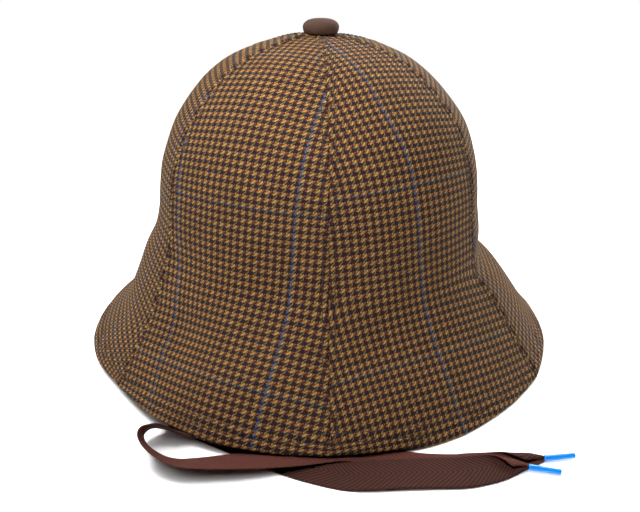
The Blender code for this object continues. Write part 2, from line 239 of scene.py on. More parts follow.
# Soft dents and swellings of the cloth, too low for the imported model: azimuth and its spread in
# degrees, then height above the floor, its reach and how far out it goes in millimetres.
Dent = namedtuple("Dent", "azimuth spread height reach depth")
DENTS = [
    Dent(14, 13, 40, 12, -2.8),
    Dent(17, 12, 63, 11, 1.5),
    Dent(-16, 13, 29, 13, 2.2),
    Dent(-20, 13, 62, 13, -1.6),
    Dent(-28, 20, 99, 6, -0.8),
    Dent(-42, 9, 55, 10, 1.2),
    Dent(-42, 9, 36, 9, -1.2),
]

# The sewn cloth's relief. Places are measured from the seam or from the hem's edge.
SEAM_WIDTH = 0.6 * MM
RIDGE_HEIGHT = 0.24 * MM  # of the cloth pressed open beside the seam
RIDGE_PLACE = 1.6 * MM
RIDGE_WIDTH = 0.9 * MM
ALLOWANCE_RISE = 0.16 * MM  # of the cloth over the seam allowance
ALLOWANCE_END = (5 * MM, 7 * MM)
ALLOWANCE_THICKNESS = 0.5 * MM
ALLOWANCE_EDGE = (6 * MM, 6.8 * MM)  # on the inner face
STITCHED_DEPTH = 0.34 * MM  # of the line that a seam's topstitching draws down
STITCHED_WIDTH = 0.45 * MM
HEM_ROW_DEPTHS = (0.7 * MM, 0.6 * MM)
HEM_ROW_WIDTH = 0.55 * MM
HEM_RISE = 0.25 * MM  # of the cloth over the turned hem
HEM_TURN_END = (8.6 * MM, 10.6 * MM)
WAVE_HEIGHT = 0.5 * MM
WAVE_SCALE = 26 * MM
PUCKER_HEIGHT = 0.16 * MM
PUCKER_SCALE = 7 * MM
PUCKER_REACH = (2 * MM, 9 * MM)
PLAIN_PUCKERS = 0.35  # the puckers' share left away from all stitching

# Camera, with the image 640 pixels wide
CAMERA_PLACE = (-22.7 * MM, -414.0 * MM, 226 * MM)
CAMERA_PITCH = 66.2
CAMERA_TURN = -3.0
CAMERA_FOCUS = 718  # focal length in pixels
CAMERA_SHIFT = 3  # pixels
IMAGE_WIDTH = 640

# Light: soft boxes round the hat, in metres and watts
SoftBox = namedtuple("SoftBox", "name x y z size power")
SOFT_BOXES = [
    SoftBox("overhead", 0, 0, 0.8, 0.5, 0.8),
    SoftBox("over_crown", 0, 0.1, 0.45, 0.3, 0.2),
    SoftBox("crown_front", 0, -0.22, 0.3, 0.1, 0.64),
    SoftBox("crown_left", -0.25, -0.1, 0.5, 0.2, 2.15),
    SoftBox("left_low", -0.45, 0.1, 0.1, 0.2, 0.4),
    SoftBox("right_low", 0.45, 0.15, 0.1, 0.2, 0.6),
    SoftBox("behind_left_near", -0.35, 0.35, 0.55, 0.3, 1.0),
    SoftBox("behind_right_near", 0.35, 0.35, 0.4, 0.3, 4.4),
    SoftBox("behind", 0, 2.0, 0.7, 1.4, 4.6),
    SoftBox("behind_left", -0.72, 1.24, 1.42, 1.4, 9.7),
    SoftBox("floor_wash", -0.1, -0.7, 1.5, 1.6, 29),
]
FLOOR_ONLY = "floor_wash"  # the soft box that lights the floor alone
FLOOR_RADIUS = 1.1
FLOOR_SIDES = 96
FLOOR_LEVEL = -0.2 * MM
FLOOR_GLOW = (0.42, 0.8)  # the radii between which the floor passes into a white that glows
SOFT_BOX_AIM = Vector((0, 0, 0.09))


def linear(hex_colour):
    """An sRGB hex colour as linear red, green and blue."""
    parts = [int(hex_colour[i : i + 2], 16) / 255 for i in (1, 3, 5)]
    return tuple(p / 12.92 if p <= 0.04045 else ((p + 0.055) / 1.055) ** 2.4 for p in parts)


def size_property(name, default, description):
    """A length in metres that a user may change."""
    return FloatProperty(
        name=name, default=default, description=description, unit="LENGTH", min=0, precision=5
    )


def colour_property(name, default, description):
    """A colour that a user may change, from an sRGB hex value."""
    return FloatVectorProperty(
        name=name, default=linear(default), description=description, subtype="COLOR", min=0, max=1
    )


class HatSizes(PropertyGroup):
    check_width: size_property("Check width", 4.11 * MM, "Houndstooth repeat across the gore")
    check_height: size_property("Check height", 4.03 * MM, "Houndstooth repeat up the gore")
    warp_line_step: size_property("Warp line step", 74 * MM, "From a blue warp line to the next")
    weft_line_step: size_property("Weft line step", 88.7 * MM, "From a blue weft line to the next")
    seam_groove: size_property("Seam groove", 0.55 * MM, "Depth of the groove along a seam")
    seam_stitching: size_property("Seam stitching", 3.2 * MM, "Seam to topstitching")
    hem_stitching: size_property("Hem stitching", 4.5 * MM, "Hem edge to its first topstitching")
    hem_second_row: size_property("Hem second row", 9.3 * MM, "Hem edge to its second topstitching")
    stitch_length: size_property("Stitch length", 2.6 * MM, "Length of one topstitch")
    stitch_gap: size_property("Stitch gap", 0.3 * MM, "Gap between two topstitches")
    thread: size_property("Thread", 0.5 * MM, "Thickness of the sewing thread")
    chevron_step: size_property("Chevron step", 2.4 * MM, "From one rib of the tape to the next")


class HatColours(PropertyGroup):
    camel: colour_property("Camel", "#64442c", "Light weft yarn")
    golden: colour_property("Golden", "#98773f", "Light warp yarn among light weft")
    khaki: colour_property("Khaki", "#5e4e31", "Light warp yarn among dark weft")
    maroon: colour_property("Maroon", "#321211", "Dark warp yarn among light weft")
    plum: colour_property("Plum", "#27181b", "Dark warp yarn among dark weft")
    black: colour_property("Black", "#1d1419", "Dark weft yarn")
    blue_warp: colour_property("Blue warp", "#31506e", "Yarn of the blue warp lines")
    blue_weft: colour_property("Blue weft", "#2a4859", "Yarn of the blue weft lines")
    stitching: colour_property("Stitching", "#140909", "Topstitching thread")
    tape_face: colour_property("Tape face", "#3b221c", "Herringbone side of the tape")
    tape_back: colour_property("Tape back", "#512d26", "Reverse of the tape")
    button: colour_property("Button", "#47332a", "Cloth of the button")
    tip: colour_property("Tip", "#0c8aeb", "Plastic of the tips")


# Shape


def degrees_past(azimuth, start):
    """How many degrees an azimuth lies past a start, from -180 to 180."""
    return (azimuth - start + 180) % 360 - 180


def run_along(points):
    """How far along their line each of the points lies."""
    return np.concatenate([[0], np.cumsum(np.linalg.norm(np.diff(points, axis=0), axis=1))])


def curve_through(rows, steps):
    """A smooth curve through the rows, with this many steps from each to the next."""
    p = np.array(rows, float)
    p = np.vstack([2 * p[0] - p[1], p, 2 * p[-1] - p[-2]])
    t = np.linspace(0, 1, steps, endpoint=False)[:, None]
    pieces = []
    for a, b, c, d in zip(p[:-3], p[1:-2], p[2:-1], p[3:]):
        bend = 2 * a - 5 * b + 4 * c - d
        twist = 3 * b - a - 3 * c + d
        pieces.append(b + t * (c - a) / 2 + t**2 * bend / 2 + t**3 * twist / 2)
    return np.vstack(pieces + [p[-2:-1]])


def panel_profile():
    """The gores' middle line as radius and height, evenly spaced from the hem to the button."""
    flare = RIM_RADIUS - CROWN_RADIUS
    rows = [(CROWN_RADIUS + s.reach * flare, s.level * HEAD_LINE) for s in BRIM]
    rows += [(s.reach * CROWN_RADIUS, HEAD_LINE + s.level * CROWN_DEPTH) for s in CROWN]
    rows.append((TIP_HOLE, HEAD_LINE + CROWN_DEPTH))
    fine = curve_through(rows, CURVE_STEPS)
    run = run_along(fine)
    even = np.linspace(0, run[-1], len(fine))
    return np.column_stack([np.interp(even, run, column) for column in fine.T])


PROFILE = panel_profile()
PROFILE_SHARES = np.linspace(0, 1, len(PROFILE))
PROFILE_SLOPES = np.gradient(PROFILE, axis=0)
PROFILE_RUN = np.linalg.norm(np.diff(PROFILE, axis=0), axis=1).sum()
RIM_CURVE = curve_through(RIM, CURVE_STEPS)


def hat_points(azimuth, across, share):
    """Points of the hat's outer face before its middle is moved to the origin."""
    radius, height = (np.interp(share, PROFILE_SHARES, column) for column in PROFILE.T)
    slope = [np.interp(share, PROFILE_SHARES, column) for column in PROFILE_SLOPES.T]
    length = np.hypot(*slope)
    normal_out = slope[1] / length
    normal_up = -slope[0] / length
    brim_share = np.maximum(1 - np.maximum(height, 0) / HEAD_LINE, 0) ** BRIM_FADE
    azimuth = degrees_past(azimuth, 0)
    turn, reach, lift = (np.interp(azimuth, RIM_CURVE[:, 0], RIM_CURVE[:, i]) for i in (1, 2, 3))
    azimuth = azimuth + brim_share * turn
    level = height / (HEAD_LINE + CROWN_DEPTH)
    out = -PANEL_SAG * (1 - across**2) * np.sin(math.pi * share)
    for fold in FOLDS:
        past = degrees_past(azimuth, fold.azimuth)
        distance = (past / fold.spread) ** 2 + ((level - fold.level) / fold.height) ** 2
        out = out + fold.depth * CROWN_RADIUS * np.exp(-distance)
    radius = radius + brim_share * (reach - 1) * RIM_RADIUS + out * normal_out
    height = height + brim_share * lift * HEAD_LINE + out * normal_up
    angle = np.radians(azimuth)
    x = LEAN * level + radius * np.sin(angle)
    return np.stack([x, -radius * np.cos(angle), height], axis=-1)


def hat_middle():
    """The middle of the hem's outline where it stands on or over the floor, seen from above."""
    hem_share = -2 * BRIM[0].level * HEAD_LINE / PROFILE_RUN
    azimuth, share = np.meshgrid(np.arange(-180, 180.0), np.linspace(0, hem_share, 20))
    lines = hat_points(azimuth, np.ones_like(azimuth), share)
    first = np.argmax(lines[..., 2] >= 0, axis=0)
    edge = lines[first, np.arange(lines.shape[1]), :2]
    return np.array([*(edge.min(axis=0) + edge.max(axis=0)) / 2, 0])


HAT_MIDDLE = hat_middle()
EDGE_HEIGHT = 0.6 * MM  # of the outer face above the floor where the hem rests
EDGE_DROP = 0.8 * MM  # how far the hem's roll hangs past the outer face where it is lifted
FLOOR_GAP = 0.02 * MM  # the least height of the cloth above the floor
FOOT_FADE = 8 * MM  # how far up the brim the hem's flattening on the floor reaches
FOOT_SEARCH = 12 * MM  # how far up the outer face its start over the floor is looked for
FOOT_STEPS = 80


def unit(vectors):
    """The vectors, each made 1 long."""
    return vectors / np.maximum(np.linalg.norm(vectors, axis=-1, keepdims=True), 1e-12)


def hem_shares(azimuth):
    """The share of the way up at which the outer face begins, by azimuth."""
    share = np.linspace(EDGE_DROP / PROFILE_RUN, FOOT_SEARCH / PROFILE_RUN, FOOT_STEPS)
    grid_azimuth, grid_share = np.meshgrid(azimuth, share)
    height = hat_points(grid_azimuth, np.ones_like(grid_azimuth), grid_share)[..., 2]
    return share[np.argmax(height >= EDGE_HEIGHT, axis=0)]


def smooth_face(middle_azimuth, across, share):
    """Points, outward normals and upward tangents of a gore before it is sewn."""
    azimuth = middle_azimuth + across * 180 / PANELS
    points = hat_points(azimuth, across, share) - HAT_MIDDLE
    turn, step = 0.3, 0.002  # degrees and share to each side, for the tangents
    round_it = hat_points(azimuth + turn, across, share) - hat_points(azimuth - turn, across, share)
    above = np.minimum(share + step, 1)
    up = unit(hat_points(azimuth, across, above) - hat_points(azimuth, across, above - 2 * step))
    return points, unit(np.cross(round_it, up)), up


CUT_ROWS = 221  # how many rows and columns a gore's flat cut is measured by
CUT_COLUMNS = 61
CUT_EASE = 9  # the rows over which its width is eased
NARROWEST = 6 * MM  # the half width under which its taper grows no more


class Gore:
    """One gore's flat cut and its curved faces."""

    def __init__(self, index):
        self.cut = CUTS[index]
        self.azimuth = (2 * index + 1) * 180 / PANELS
        share = np.linspace(0, 1, CUT_ROWS)
        grid_across, grid_share = np.meshgrid(np.linspace(-1, 1, CUT_COLUMNS), share)
        points, _, _ = smooth_face(self.azimuth, grid_across, grid_share)
        lengths = np.linalg.norm(np.diff(points, axis=1), axis=2).sum(axis=1) / 2
        kernel = np.ones(CUT_EASE) / CUT_EASE
        self.share = share
        self.half = np.convolve(np.pad(lengths, CUT_EASE // 2, mode="edge"), kernel, mode="valid")
        self.rise = run_along(points[:, CUT_COLUMNS // 2])
        self.taper = -np.gradient(self.half, self.rise) / np.maximum(self.half, NARROWEST)

    def azimuths(self, across):
        """The azimuths of places across the gore, which are -1 and 1 at its seams."""
        return self.azimuth + across * 180 / PANELS

    def half_width(self, share):
        """Half the cut's width at this share of the way up."""
        return np.interp(share, self.share, self.half)

    def flat(self, across, share):
        """Where the point lay in the cloth, in metres from the crossing of its blue lines."""
        half = self.half_width(share)
        u = across * half
        taper = np.interp(share, self.share, self.taper)
        v = np.interp(share, self.share, self.rise) + u**2 * taper / 2
        rows = [d for d in DRIFTS if d.gore == self.cut.gore]
        if rows:
            heights = [d.height * MM for d in rows]
            shift = np.interp(v, heights, [d.shift * MM for d in rows])
            side = rows[0].side
            weight = np.clip(u * side / DRIFT_REACH, 0, 1) if side else 1
            u = u - shift * weight
        return u - self.cut.warp_line * MM, v - self.cut.weft_line * MM

    def faces(self, across, share, hem_gap, sizes):
        """The sewn cloth's outer and inner points, outward normals and upward tangents."""
        points, normal, up = smooth_face(self.azimuth, across, share)
        edge_share = share - hem_gap / PROFILE_RUN
        edge, edge_normal, _ = smooth_face(self.azimuth, across, edge_share)
        low = edge[..., 2] - HEM_WALL / 2 * (1 + edge_normal[..., 2])
        raised = np.maximum(-low, 0) * np.exp(-((hem_gap / FOOT_FADE) ** 2))
        points[..., 2] += raised
        seam_gap = (1 - np.abs(across)) * self.half_width(share)
        points += normal * dents(self.azimuths(across), points[..., 2])[..., None]
        outer = points + normal * relief(points, seam_gap, hem_gap, sizes)[..., None]
        wall = np.where(hem_gap <= HEM_WIDTH, HEM_WALL, WALL)
        allowance = ALLOWANCE_THICKNESS * fall(seam_gap, *ALLOWANCE_EDGE)
        inner = points - normal * (wall + allowance)[..., None]
        return outer, inner, normal, up


def dents(azimuth, height):
    """How far the soft dents move the cloth outwards."""
    out = np.zeros_like(azimuth)
    for dent in DENTS:
        around = hump(degrees_past(azimuth, dent.azimuth), 0, dent.spread)
        out += dent.depth * MM * around * hump(height, dent.height * MM, dent.reach * MM)
    return out


def fall(value, start, end):
    """1 up to start and 0 from end, smooth between."""
    t = np.clip((value - start) / (end - start), 0, 1)
    return 1 - t * t * (3 - 2 * t)


def hump(value, middle, width):
    """1 at the middle, and falling away on both sides over this width."""
    return np.exp(-(((value - middle) / width) ** 2))


def relief(points, seam_gap, hem_gap, sizes):
    """How far the sewn cloth stands out from its smooth form, by the distances from its seam and
    from the hem's edge: groove, pressed allowances, stitched-down lines, puckers and unevenness."""
    out = -sizes.seam_groove * hump(seam_gap, 0, SEAM_WIDTH)
    out += RIDGE_HEIGHT * hump(seam_gap, RIDGE_PLACE, RIDGE_WIDTH)
    out += ALLOWANCE_RISE * fall(seam_gap, *ALLOWANCE_END)
    out -= STITCHED_DEPTH * hump(seam_gap, sizes.seam_stitching, STITCHED_WIDTH)
    for row, depth in zip((sizes.hem_stitching, sizes.hem_second_row), HEM_ROW_DEPTHS):
        out -= depth * hump(hem_gap, row, HEM_ROW_WIDTH)
    out += HEM_RISE * fall(hem_gap, *HEM_TURN_END)
    near_stitching = PLAIN_PUCKERS + fall(np.minimum(seam_gap, hem_gap), *PUCKER_REACH)
    forms = ((WAVE_HEIGHT, WAVE_SCALE), (PUCKER_HEIGHT * near_stitching, PUCKER_SCALE))
    for height, scale in forms:
        rough = np.array([noise.noise(Vector(p) / scale) for p in points.reshape(-1, 3)])
        out += height * rough.reshape(out.shape)
    return out


# Meshes


def new_object(name, points, faces, maps=None, surfaces=(), face_surfaces=None):
    """An object of this mesh, smooth shaded. maps holds one (u, v) for each point."""
    mesh = bpy.data.meshes.new(name)
    mesh.from_pydata([tuple(p) for p in points], [], faces)
    for surface in surfaces:
        mesh.materials.append(surface)
    if face_surfaces is not None:
        mesh.polygons.foreach_set("material_index", face_surfaces)
    if maps is not None:
        corners = np.empty(len(mesh.loops), int)
        mesh.loops.foreach_get("vertex_index", corners)
        layer = mesh.uv_layers.new(name=CLOTH_MAP)
        layer.uv.foreach_set("vector", np.asarray(maps, np.float32)[corners].ravel())
    mesh.shade_smooth()
    mesh.validate()
    made = bpy.data.objects.new(name, mesh)
    bpy.context.scene.collection.objects.link(made)
    return made


def grid_faces(rows, columns, closed=False):
    """The quads of a grid of points, and with closed the ones that join its last column to its
    first."""
    row, column = np.meshgrid(np.arange(rows - 1), np.arange(columns - (not closed)), indexing="ij")
    start = row * columns + column
    beside = row * columns + (column + 1) % columns
    corners = np.stack([start, beside, beside + columns, start + columns], axis=-1)
    return corners.reshape(-1, 4).tolist()


def tube_faces(rows, columns, way=1):
    """The faces of a closed tube of rings and of a cap on each of its ends. A way of -1 turns the
    two caps over."""
    last = (rows - 1) * columns
    caps = [list(range(columns))[::-way], list(range(last, last + columns))[::way]]
    return grid_faces(rows, columns, closed=True) + caps


# A gore's rows near the hem and columns near the seam, in millimetres from its edge, and how many
# more follow at even steps
NEAR_HEM = [0, 0.6, 1.2, 1.9, 2.6, 3.2, 3.6, 4.0, 4.5, 5.2, 6.0, 6.05, 7, 8, 9.2]
NEAR_SEAM = [0.02, 0.3, 0.65, 1.05, 1.5, 1.9, 2.2, 2.5, 2.8, 3.3, 4.2, 5.2, 6.3, 7.6]
ROWS_ABOVE = 146
COLUMNS_INSIDE = 28
HEM_COLUMNS = 121  # along the hem, where the outer face's start is found
ROLL_STEPS = 7  # round the hem's roll
CLOSE_HALF = 18 * MM  # the half width under which the columns near the seam close up


def make_gore(gore, surface, sizes):
    """A gore as one folded sheet: down the outer face, round the hem's roll, up the inner face."""
    above = np.linspace(HEM_TURN_END[1], PROFILE_RUN, ROWS_ABOVE)
    gaps = np.concatenate([np.array(NEAR_HEM) * MM, above])
    inside = np.linspace(0, 1, COLUMNS_INSIDE + 1)[1:]
    hem_azimuths = gore.azimuths(np.linspace(-1, 1, HEM_COLUMNS))
    half = gore.half_width(gaps / PROFILE_RUN)[:, None]
    close = np.array(NEAR_SEAM) * MM * np.minimum(half / CLOSE_HALF, 1)
    rest = close[:, -1:] + inside * (half - close[:, -1:])
    from_seam = np.concatenate([close, rest], axis=1)
    side = 1 - from_seam / half
    across = np.concatenate([-side, side[:, -2::-1]], axis=1)
    edge = np.interp(gore.azimuths(across), hem_azimuths, hem_shares(hem_azimuths))
    share = edge + (1 - edge) * (gaps / gaps[-1])[:, None]
    hem_gap = (share - edge) * PROFILE_RUN
    outer, inner, normal, up = gore.faces(across, share, hem_gap, sizes)
    u, v = gore.flat(across, share)
    turns = np.linspace(0, math.pi, ROLL_STEPS + 1)[1:-1]
    middle = (outer[0] + inner[0]) / 2
    reach = np.linalg.norm(outer[0] - inner[0], axis=-1)[:, None] / 2
    roll = [middle + reach * (math.cos(t) * normal[0] - math.sin(t) * up[0]) for t in turns]
    roll_v = [v[0] - HEM_WALL * t / 2 for t in turns]
    points = np.concatenate([outer[::-1], roll, inner])
    points[..., 2] = np.maximum(points[..., 2], FLOOR_GAP)
    maps_u = np.concatenate([u[::-1], [u[0]] * len(turns), u])
    maps_v = np.concatenate([v[::-1], roll_v, v])
    rows, columns = maps_u.shape
    faces = grid_faces(rows, columns)
    last = rows - 1
    for c in range(columns - 1):
        faces.append([c + 1, c, last * columns + c, last * columns + c + 1])
    for r in range(rows // 2 - 1):
        for c, order in ((0, 1), (columns - 1, -1)):
            ring = [r, r + 1, last - r - 1, last - r]
            faces.append([n * columns + c for n in ring][::order])
    maps = np.stack([maps_u, maps_v], axis=-1).reshape(-1, 2)
    return new_object(f"cloth_{gore.cut.gore}", points.reshape(-1, 3), faces, maps, [surface])


THREAD_SIDES = 6
THREAD_END = 0.45  # the thickness of a stitch's ends as a share


def threads(lines, normals, radius):
    """Points and faces of a sewing thread's stitches, each along its line of points."""
    count, length, _ = lines.shape
    along = unit(np.gradient(lines, axis=1))
    beside = unit(np.cross(along, normals))
    above = np.cross(beside, along)
    angles = np.linspace(0, 2 * math.pi, THREAD_SIDES, endpoint=False)[:, None]
    ends = np.array([THREAD_END] + [1.0] * (length - 2) + [THREAD_END])[None, :, None, None]
    ring = np.cos(angles) * beside[:, :, None] + np.sin(angles) * above[:, :, None]
    points = lines[:, :, None] + radius * ends * ring
    one = tube_faces(length, THREAD_SIDES)
    starts = np.arange(count) * length * THREAD_SIDES
    faces = [[corner + int(start) for corner in face] for start in starts for face in one]
    return points.reshape(-1, 3), faces


STITCH_SHAPE = np.array([-0.1, 0.16, 0.2, 0.16, -0.1]) * MM  # height of its points over the cloth
UNDER_BUTTON = 7 * MM  # the top of each seam, which is left unstitched under the button
HEM_COUNT_SHARE = 0.02  # the share of the way up where the hem's stitches are counted out


def seam_stitches(gore, side, sizes):
    """The stitches' lines down one side of a gore."""
    pitch = sizes.stitch_length + sizes.stitch_gap
    edge = hem_shares(np.array([gore.azimuths(side)]))[0]
    starts = np.arange(sizes.hem_stitching, (1 - edge) * PROFILE_RUN - UNDER_BUTTON, pitch)
    gaps = starts[:, None] + np.linspace(0, sizes.stitch_length, len(STITCH_SHAPE))
    share = edge + gaps / PROFILE_RUN
    half = gore.half_width(share)
    away = sizes.seam_stitching * np.minimum(half / CLOSE_HALF, 1)
    outer, _, normal, _ = gore.faces(side * (1 - away / half), share, gaps, sizes)
    lines = outer + normal * STITCH_SHAPE[:, None]
    lines[..., 2] = np.maximum(lines[..., 2], sizes.thread)
    return lines, normal


def hem_stitches(gore, away, sizes):
    """The stitches' lines along a gore's hem, this far from its edge."""
    pitch = sizes.stitch_length + sizes.stitch_gap
    count = int(2 * gore.half_width(HEM_COUNT_SHARE) / pitch)
    starts = np.arange(count)[:, None] * 2 / count - 1
    across = starts + np.linspace(0, 2 / count * sizes.stitch_length / pitch, len(STITCH_SHAPE))
    edge = hem_shares(gore.azimuths(across).ravel()).reshape(across.shape)
    gaps = np.full_like(across, away)
    outer, _, normal, _ = gore.faces(across, edge + gaps / PROFILE_RUN, gaps, sizes)
    return outer + normal * STITCH_SHAPE[:, None], normal


def turned_points(profile, steps):
    """Rings of points of a profile of (out, up) turned about Z."""
    angles = np.linspace(0, 2 * math.pi, steps, endpoint=False)
    out, up = np.array(profile).T[..., None]
    rings = [out * np.cos(angles), out * np.sin(angles), np.tile(up, steps)]
    return np.stack(rings, axis=-1)


def tape_rows(route):
    """Places along a tape, the ways along and across it there, and its width share."""
    rows = curve_through(route, CURVE_STEPS)
    run = run_along(rows[:, :3])
    even = np.linspace(0, run[-1], round(run[-1] / TAPE_STEP))
    rows = np.column_stack([np.interp(even, run, column) for column in rows.T])
    kernel = hump(np.arange(-EASE_ROWS, EASE_ROWS + 1) * TAPE_STEP, 0, TAPE_EASE)
    sides = ((EASE_ROWS, EASE_ROWS), (0, 0))
    padded = np.pad(rows, sides, mode="reflect", reflect_type="odd")
    rows = np.column_stack([np.convolve(c, kernel / kernel.sum(), mode="valid") for c in padded.T])
    places = rows[:, :3] * MM
    along = unit(np.gradient(places, axis=0))
    heading, rise = np.radians(rows[:, 3:5].T)
    level = np.cos(rise)
    across = np.column_stack([level * np.cos(heading), level * np.sin(heading), np.sin(rise)])
    across -= (across * along).sum(axis=1)[:, None] * along
    return places - HAT_MIDDLE, along, unit(across), rows[:, 5]


TAPE_COLUMNS = 25
TAPE_WAVE = 0.12 * MM  # how far the tape's sides rise and fall along it
TAPE_WAVE_SCALE = 11 * MM
SELVEDGE_POWER = 16  # how late the tape thins towards its selvedges
SELVEDGE_LEAST = 0.04
GATHERED_THICKNESS = 0.55  # the share of its thickness that is left where it is gathered most
TAPE_LOWEST = 0.05 * MM  # its least height above the floor
TUBE_SHARE = 0.44  # the width share at which the gathered tape has rolled up into a tube
ROLL_CRUSH = 0.35  # how much of the roll's height is left after it is pressed down


def curled(turn, far):
    """A tape of half width 1, its far edge (-1 or 1) rolled over by this much and its near one
    left flat: how far across and how far up each of its points lies."""
    place = np.linspace(-1, 1, TAPE_COLUMNS)
    angle = far * turn * ((1 + far * place) / 2) ** 2
    middle = (angle[1:] + angle[:-1]) / 2
    step = place[1] - place[0]
    side = np.concatenate([[0], np.cumsum(np.cos(middle) * step)])
    up = np.concatenate([[0], np.cumsum(np.sin(middle) * step)])
    return side - (side.max() + side.min()) / 2, up


TURNS = np.linspace(0, 5, 120)  # radians, to look up the turn that gives a width
CURLED_WIDTHS = np.array([np.ptp(curled(turn, 1)[0]) / 2 for turn in TURNS])


def tape_section(width, far):
    """A gathered tape's section: how far across and how far up each of its points lies, as the
    flat tape's far edge is rolled over towards its near one and then all is crushed together."""
    turn = np.interp(-max(width, TUBE_SHARE), -CURLED_WIDTHS, TURNS)
    side, up = curled(turn, far)
    crush = min(width / TUBE_SHARE, 1) * TAPE_WIDTH / 2
    return side * crush, (up - up.mean()) * crush * ROLL_CRUSH


def make_tape(side, route, far, face, back, tip_surface):
    """A tie tape as one woven strip with two faces, and the moulded tip on its end."""
    places, along, across, widths = tape_rows(route)
    run = run_along(places)
    rings, maps = [], []
    thickness = np.cross(along, across)
    lift = np.where(thickness[:, 2] > 0, 1, -1)
    place = np.linspace(-1, 1, TAPE_COLUMNS)
    selvedge = np.sqrt(np.maximum(1 - np.abs(place) ** SELVEDGE_POWER, SELVEDGE_LEAST))
    for n, width in enumerate(widths):
        x, y = tape_section(width, far)
        wave = TAPE_WAVE * math.sin(run[n] / TAPE_WAVE_SCALE) * place**2
        middle = places[n] + x[:, None] * across[n] + (y + wave)[:, None] * lift[n] * thickness[n]
        normal_x, normal_y = -np.gradient(y), np.gradient(x)
        normal = unit(normal_x[:, None] * across[n] + normal_y[:, None] * lift[n] * thickness[n])
        open_share = min(width / TUBE_SHARE, 1)
        left = GATHERED_THICKNESS + (1 - GATHERED_THICKNESS) * open_share
        half = (TAPE_THICKNESS / 2 * selvedge * left)[:, None]
        rings.append(np.concatenate([middle + half * normal, (middle - half * normal)[::-1]]))
        flat = place * TAPE_WIDTH / 2
        maps.append([(run[n], f) for f in np.concatenate([flat, flat[::-1]])])
    points = np.array(rings)
    points[..., 2] = np.maximum(points[..., 2], TAPE_LOWEST)
    rows, columns, _ = points.shape
    faces = tube_faces(rows, columns, way=-1)
    maps = np.array(maps).reshape(-1, 2)
    # The first half of each ring is the side that lies up. It is the herringbone face where the
    # tape's thickness points down, and the reverse elsewhere.
    turned = np.repeat(lift < 0, columns)
    first_half = np.tile(np.arange(columns) < TAPE_COLUMNS, rows)
    shows_face = (turned == first_half)[: (rows - 1) * columns]
    which = np.concatenate([np.where(shows_face, 0, 1), [0, 0]]).astype(int)
    name = f"woven_tape_{side}"
    tape = new_object(name, points.reshape(-1, 3), faces, maps, [face, back], which)
    tip = make_tip(side, Vector(places[-1]), Vector(along[-1]), tip_surface)
    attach(tape, "root")
    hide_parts(f"tie_tape_{side}")


TIP_SIDES = 40
BUTTON_SIDES = 96
PROFILE_END = 0.05 * MM  # the radius at which a turned profile ends in a cap


def make_tip(side, place, along, surface):
    """A tip moulded round the gathered tape: a soft lip, a straight tube and a rounded end."""
    radius = TIP_RADIUS
    profile = [
        (0.2 * MM, 0.5 * MM),
        (radius - 0.35 * MM, 0.3 * MM),
        (radius - 0.08 * MM, 0),
        (radius, 0.12 * MM),
        (radius, 0.5 * MM),
        (radius - 0.06 * MM, 1.1 * MM),
        (radius - 0.1 * MM, 0.5 * TIP_LENGTH),
        (radius - 0.14 * MM, TIP_LENGTH - 0.6 * MM),
        (radius - 0.24 * MM, TIP_LENGTH - 0.2 * MM),
        (radius - 0.5 * MM, TIP_LENGTH),
        (PROFILE_END, TIP_LENGTH),
    ]
    rings = turned_points(profile, TIP_SIDES)
    turn = along.to_track_quat("Z", "Y").to_matrix()
    points = rings.reshape(-1, 3) @ np.array(turn).T + np.array(place + CLEARANCE * along)
    faces = tube_faces(len(profile), TIP_SIDES)
    tip = new_object(f"moulded_tip_{side}", points, faces, surfaces=[surface])
    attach(tip, "root")
    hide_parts(f"tape_tip_{side}")
    return tip


def make_button(surface):
    """The covered button: a dome of stretched cloth gathered in small pleats under its edge."""
    dome_rows, side_rows, side_bulge = 22, 8, 2.2
    pleats, pleat_depth = 22, 0.014
    shank, shank_depth = TIP_HOLE - 2 * CLEARANCE, 2.6 * MM
    shoulder = BUTTON_SHOULDER * BUTTON_HEIGHT
    crown = BUTTON_HEIGHT - shoulder
    angles = np.linspace(0.02, math.pi / 2, dome_rows)
    outs = [BUTTON_RADIUS * math.sin(a) ** BUTTON_BULGE for a in angles]
    profile = [(out, shoulder + crown * math.cos(a)) for out, a in zip(outs, angles)]
    foot = BUTTON_FOOT * BUTTON_RADIUS
    for t in np.linspace(0, 1, side_rows + 1)[1:]:
        out = BUTTON_RADIUS + (foot - BUTTON_RADIUS) * t**side_bulge
        profile.append((out, shoulder + (CLEARANCE - shoulder) * t))
    profile += [(foot - 0.7 * MM, 0.15 * MM), (shank, CLEARANCE)]
    profile += [(shank, -shank_depth), (PROFILE_END, -shank_depth)]
    rings = turned_points(profile, BUTTON_SIDES)
    low = np.clip(1 - rings[..., 2] / shoulder, 0, 1) * (rings[..., 2] > 0)
    turn = np.arctan2(rings[..., 1], rings[..., 0])
    reach = 1 + pleat_depth * low * np.sin(pleats * turn + 2 * np.sin(3 * turn))
    rings[..., :2] *= reach[..., None]
    points = rings.reshape(-1, 3) + np.array([LEAN, 0, HEAD_LINE + CROWN_DEPTH]) - HAT_MIDDLE
    faces = [face[::-1] for face in tube_faces(len(profile), BUTTON_SIDES)]
    button = new_object("covered_button", points, faces, surfaces=[surface])
    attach(button, "root")
    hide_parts("top_button")


# Materials

NAP = 0.06  # the share of a yarn's colour that shows on the yarns it crosses


def add_node(tree, kind, values=(), **settings):
    """A node with its settings, and its inputs linked or set by number or name."""
    node = tree.nodes.new(kind)
    for name, value in settings.items():
        setattr(node, name, value)
    pairs = values.items() if isinstance(values, dict) else enumerate(values)
    for key, value in pairs:
        if isinstance(value, bpy.types.NodeSocket):
            tree.links.new(value, node.inputs[key])
        elif value is not None:
            node.inputs[key].default_value = value
    return node


